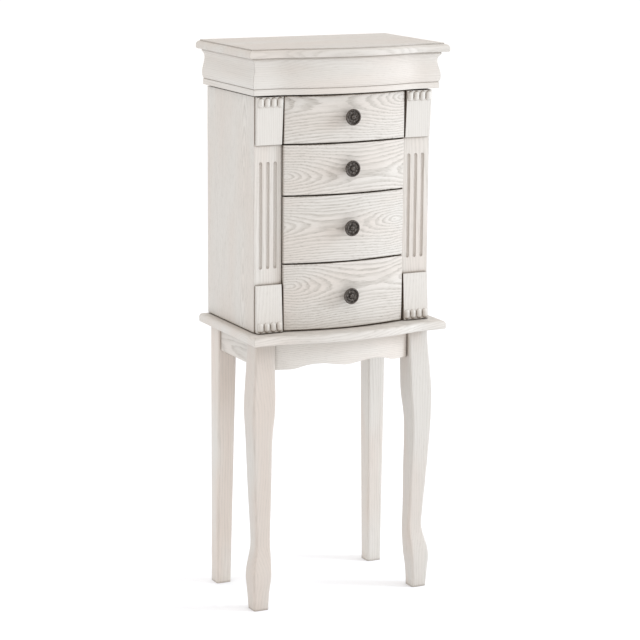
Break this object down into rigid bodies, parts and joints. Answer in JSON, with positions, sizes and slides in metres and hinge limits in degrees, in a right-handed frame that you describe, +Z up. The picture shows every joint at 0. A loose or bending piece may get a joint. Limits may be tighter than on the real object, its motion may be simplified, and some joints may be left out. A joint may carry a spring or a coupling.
{
  "type": "jewelry armoire",
  "caption": "Bow-front jewelry armoire on a cabriole-leg stand, with a lift lid over a mirror and tray, drawers with round knobs, and swing-out necklace doors at the sides.",
  "frame": {"origin": "on the floor, under the middle of the whole box", "axes": "+Z up, front faces -Y, +X to the right of someone who faces the front"},
  "size_m": [0.39, 0.2692, 1.01],
  "materials": {
    "whitewashed_oak": "whitewashed open-grain oak with a taupe glaze in the hollows, satin",
    "inner_wood": "same wash, plainer inside wood, matt",
    "dark_pewter": "antiqued dark pewter",
    "aged_brass": "aged satin brass",
    "plated_steel": "plated",
    "mirror_glass": "polished",
    "felt_lining": "short-pile flocked felt",
    "clear_rubber": "soft, translucent"
  },
  "bodies": {
    "root": {"back_apron": "whitewashed_oak", "back_frame": "whitewashed_oak", "back_panel": "whitewashed_oak", "case_bottom": "inner_wood", "corner_blocks": "inner_wood", "door_hinge_leaves_fixed": "aged_brass", "door_magnets": "plated_steel", "drawer_runners": "inner_wood", "front_apron": "whitewashed_oak", "leg_bolts": "plated_steel", "leg_front_left": "whitewashed_oak", "leg_front_right": "whitewashed_oak", "leg_rear_left": "whitewashed_oak", "leg_rear_right": "whitewashed_oak", "lid_bumpers": "clear_rubber", "lid_hinge_leaves_fixed": "aged_brass", "partition_left": "inner_wood", "partition_right": "inner_wood", "ring_cushions": "felt_lining", "side_apron_left": "whitewashed_oak", "side_apron_right": "whitewashed_oak", "stand_top": "whitewashed_oak", "top_boards": "inner_wood", "tray_base": "felt_lining", "tray_dividers": "inner_wood", "tray_front_rail": "inner_wood"},
    "lid": {"lid_frame": "whitewashed_oak", "lid_front_moulding": "whitewashed_oak", "lid_hinge_leaves": "aged_brass", "lid_mirror": "mirror_glass", "lid_side_moulding_left": "whitewashed_oak", "lid_side_moulding_right": "whitewashed_oak", "lid_top": "whitewashed_oak", "mirror_frame": "inner_wood"},
    "drawer_1": {"drawer_1_box": "inner_wood", "drawer_1_front": "whitewashed_oak", "drawer_1_knob": "dark_pewter"},
    "drawer_2": {"drawer_2_box": "inner_wood", "drawer_2_front": "whitewashed_oak", "drawer_2_knob": "dark_pewter"},
    "drawer_3": {"drawer_3_box": "inner_wood", "drawer_3_front": "whitewashed_oak", "drawer_3_knob": "dark_pewter"},
    "drawer_4": {"drawer_4_box": "inner_wood", "drawer_4_front": "whitewashed_oak", "drawer_4_knob": "dark_pewter"},
    "door_left": {"door_left_corbels": "whitewashed_oak", "door_left_hinge_leaves": "aged_brass", "door_left_hook_rail": "inner_wood", "door_left_hooks": "aged_brass", "door_left_panel": "whitewashed_oak", "door_left_stile": "whitewashed_oak", "door_left_strike_plate": "plated_steel"},
    "door_right": {"door_right_corbels": "whitewashed_oak", "door_right_hinge_leaves": "aged_brass", "door_right_hook_rail": "inner_wood", "door_right_hooks": "aged_brass", "door_right_panel": "whitewashed_oak", "door_right_stile": "whitewashed_oak", "door_right_strike_plate": "plated_steel"}
  },
  "joints": [
    {"name": "lid_hinge", "type": "hinge", "parent": "root", "child": "lid", "pos_m": [0, 0.1324, 0.92885], "axis": [-1, 0, 0], "range_deg": [0, 95]},
    {"name": "door_left_hinge", "type": "hinge", "parent": "root", "child": "door_left", "pos_m": [-0.1605, 0.1324, 0.72], "axis": [0, 0, -1], "range_deg": [0, 110]},
    {"name": "door_right_hinge", "type": "hinge", "parent": "root", "child": "door_right", "pos_m": [0.1605, 0.1324, 0.72], "axis": [0, 0, 1], "range_deg": [0, 110]},
    {"name": "drawer_1_slide", "type": "slide", "parent": "root", "child": "drawer_1", "axis": [0, -1, 0], "range_m": [0, 0.125]},
    {"name": "drawer_2_slide", "type": "slide", "parent": "root", "child": "drawer_2", "axis": [0, -1, 0], "range_m": [0, 0.125]},
    {"name": "drawer_3_slide", "type": "slide", "parent": "root", "child": "drawer_3", "axis": [0, -1, 0], "range_m": [0, 0.125]},
    {"name": "drawer_4_slide", "type": "slide", "parent": "root", "child": "drawer_4", "axis": [0, -1, 0], "range_m": [0, 0.125]}
  ]
}
